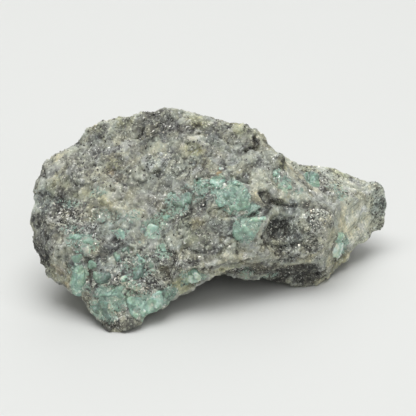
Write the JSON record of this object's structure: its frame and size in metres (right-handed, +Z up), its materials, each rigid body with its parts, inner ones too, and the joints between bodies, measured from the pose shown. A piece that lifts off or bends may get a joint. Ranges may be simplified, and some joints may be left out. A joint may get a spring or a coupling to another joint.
{
  "type": "raw emerald in schist",
  "caption": "Rough lump of grey mica schist with green emerald grown through it, standing on its own broken feet.",
  "frame": {"origin": "on the surface that the stone rests on, under the middle of its bounding box", "axes": "+Z up, +X along the stone's length towards the thin slab end, +Y from the broad leaning face to the back"},
  "size_m": [0.0816, 0.0458, 0.0407],
  "materials": {
    "schist": "rough broken mica schist, grey and cream, with dark mica",
    "emerald": "cloudy green emerald, sugary where broken, glassy on crystal faces",
    "mica": "small shiny mica flakes"
  },
  "bodies": {
    "root": {"emerald_in_schist": "schist"}
  },
  "joints": []
}
